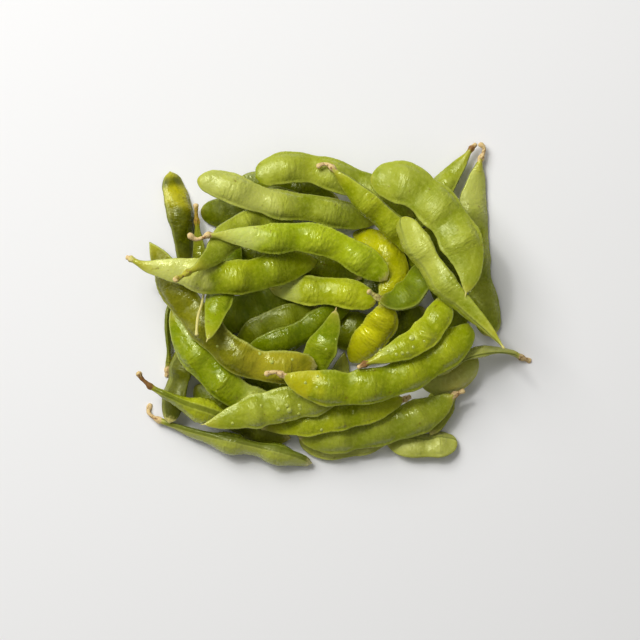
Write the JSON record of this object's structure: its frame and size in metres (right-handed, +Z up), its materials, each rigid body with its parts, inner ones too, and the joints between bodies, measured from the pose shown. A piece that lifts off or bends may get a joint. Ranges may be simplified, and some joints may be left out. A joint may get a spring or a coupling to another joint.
{
  "type": "edamame pod bundle",
  "caption": "Loose heap of whole boiled edamame (green soybean) pods with stalk stubs, laid across each other as a serving",
  "frame": {"origin": "middle of the heap's bounding box, on the surface it lies on", "axes": "+Z up; +X along the heap's longer side, to the right in the picture; +Y towards the picture's top edge"},
  "size_m": [0.146, 0.118, 0.0397],
  "materials": {
    "pod_fresh": "glossy, light yellow-green, with a fine pebbled skin",
    "pod_bright": "glossy, mid green",
    "pod_deep": "satin, dark green",
    "pod_olive": "glossy, brownish green",
    "pod_golden": "wet and glossy, yellow-green"
  },
  "bodies": {
    "root": {"pod_01": "pod_deep", "pod_02": "pod_deep", "pod_03": "pod_deep", "pod_04": "pod_deep", "pod_05": "pod_deep", "pod_06": "pod_deep", "pod_07": "pod_deep", "pod_08": "pod_deep", "pod_09": "pod_deep", "pod_10": "pod_fresh", "pod_11": "pod_olive", "pod_12": "pod_deep", "pod_13": "pod_deep", "pod_14": "pod_deep", "pod_15": "pod_deep", "pod_16": "pod_olive", "pod_17": "pod_olive", "pod_18": "pod_bright", "pod_19": "pod_bright", "pod_20": "pod_deep", "pod_21": "pod_bright", "pod_22": "pod_bright", "pod_23": "pod_bright", "pod_24": "pod_fresh", "pod_25": "pod_golden", "pod_26": "pod_bright", "pod_27": "pod_golden", "pod_28": "pod_deep", "pod_29": "pod_bright", "pod_30": "pod_bright", "pod_31": "pod_bright", "pod_32": "pod_olive", "pod_33": "pod_deep", "pod_34": "pod_bright", "pod_35": "pod_fresh", "pod_36": "pod_fresh", "pod_37": "pod_fresh", "pod_38": "pod_fresh", "pod_39": "pod_fresh", "pod_40": "pod_fresh", "pod_41": "pod_golden", "pod_42": "pod_bright", "pod_43": "pod_bright", "pod_44": "pod_fresh", "pod_45": "pod_fresh", "pod_46": "pod_fresh"}
  },
  "joints": []
}
